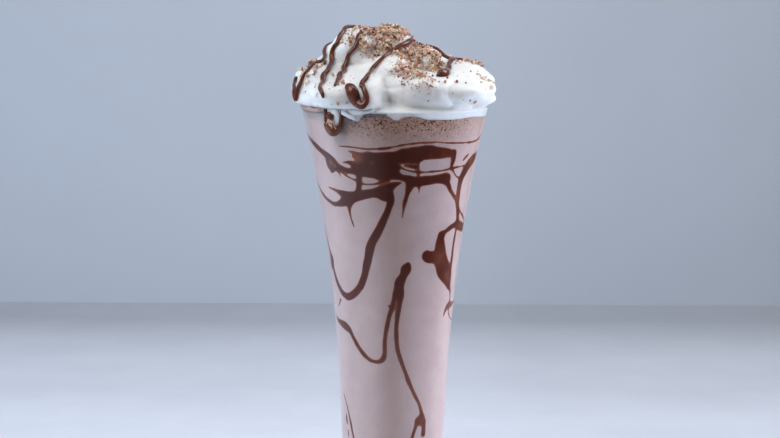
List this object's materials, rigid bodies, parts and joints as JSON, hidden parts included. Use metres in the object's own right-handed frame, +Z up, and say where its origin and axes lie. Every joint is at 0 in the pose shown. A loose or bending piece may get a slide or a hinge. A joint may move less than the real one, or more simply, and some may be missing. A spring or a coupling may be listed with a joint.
{
  "type": "chocolate milkshake",
  "caption": "Chocolate milkshake in a tall footed glass that flares to its rim, topped with whipped cream, chocolate drizzle and crumbs.",
  "frame": {"origin": "centre of the foot's flat underside", "axes": "+Z up along the glass's axis; -Y towards the side that the picture shows; +X to the right in the picture"},
  "size_m": [0.0864, 0.0816, 0.2399],
  "materials": {
    "glass": "clear polished glass",
    "milkshake": "thick foamy pinkish-brown drink, seen through the glass",
    "whipped_cream": "soft white whipped cream with glossy brown drizzle and dry tan and brown crumbs"
  },
  "bodies": {
    "root": {"glass": "glass", "milkshake": "milkshake", "whipped_cream": "whipped_cream"}
  },
  "joints": []
}
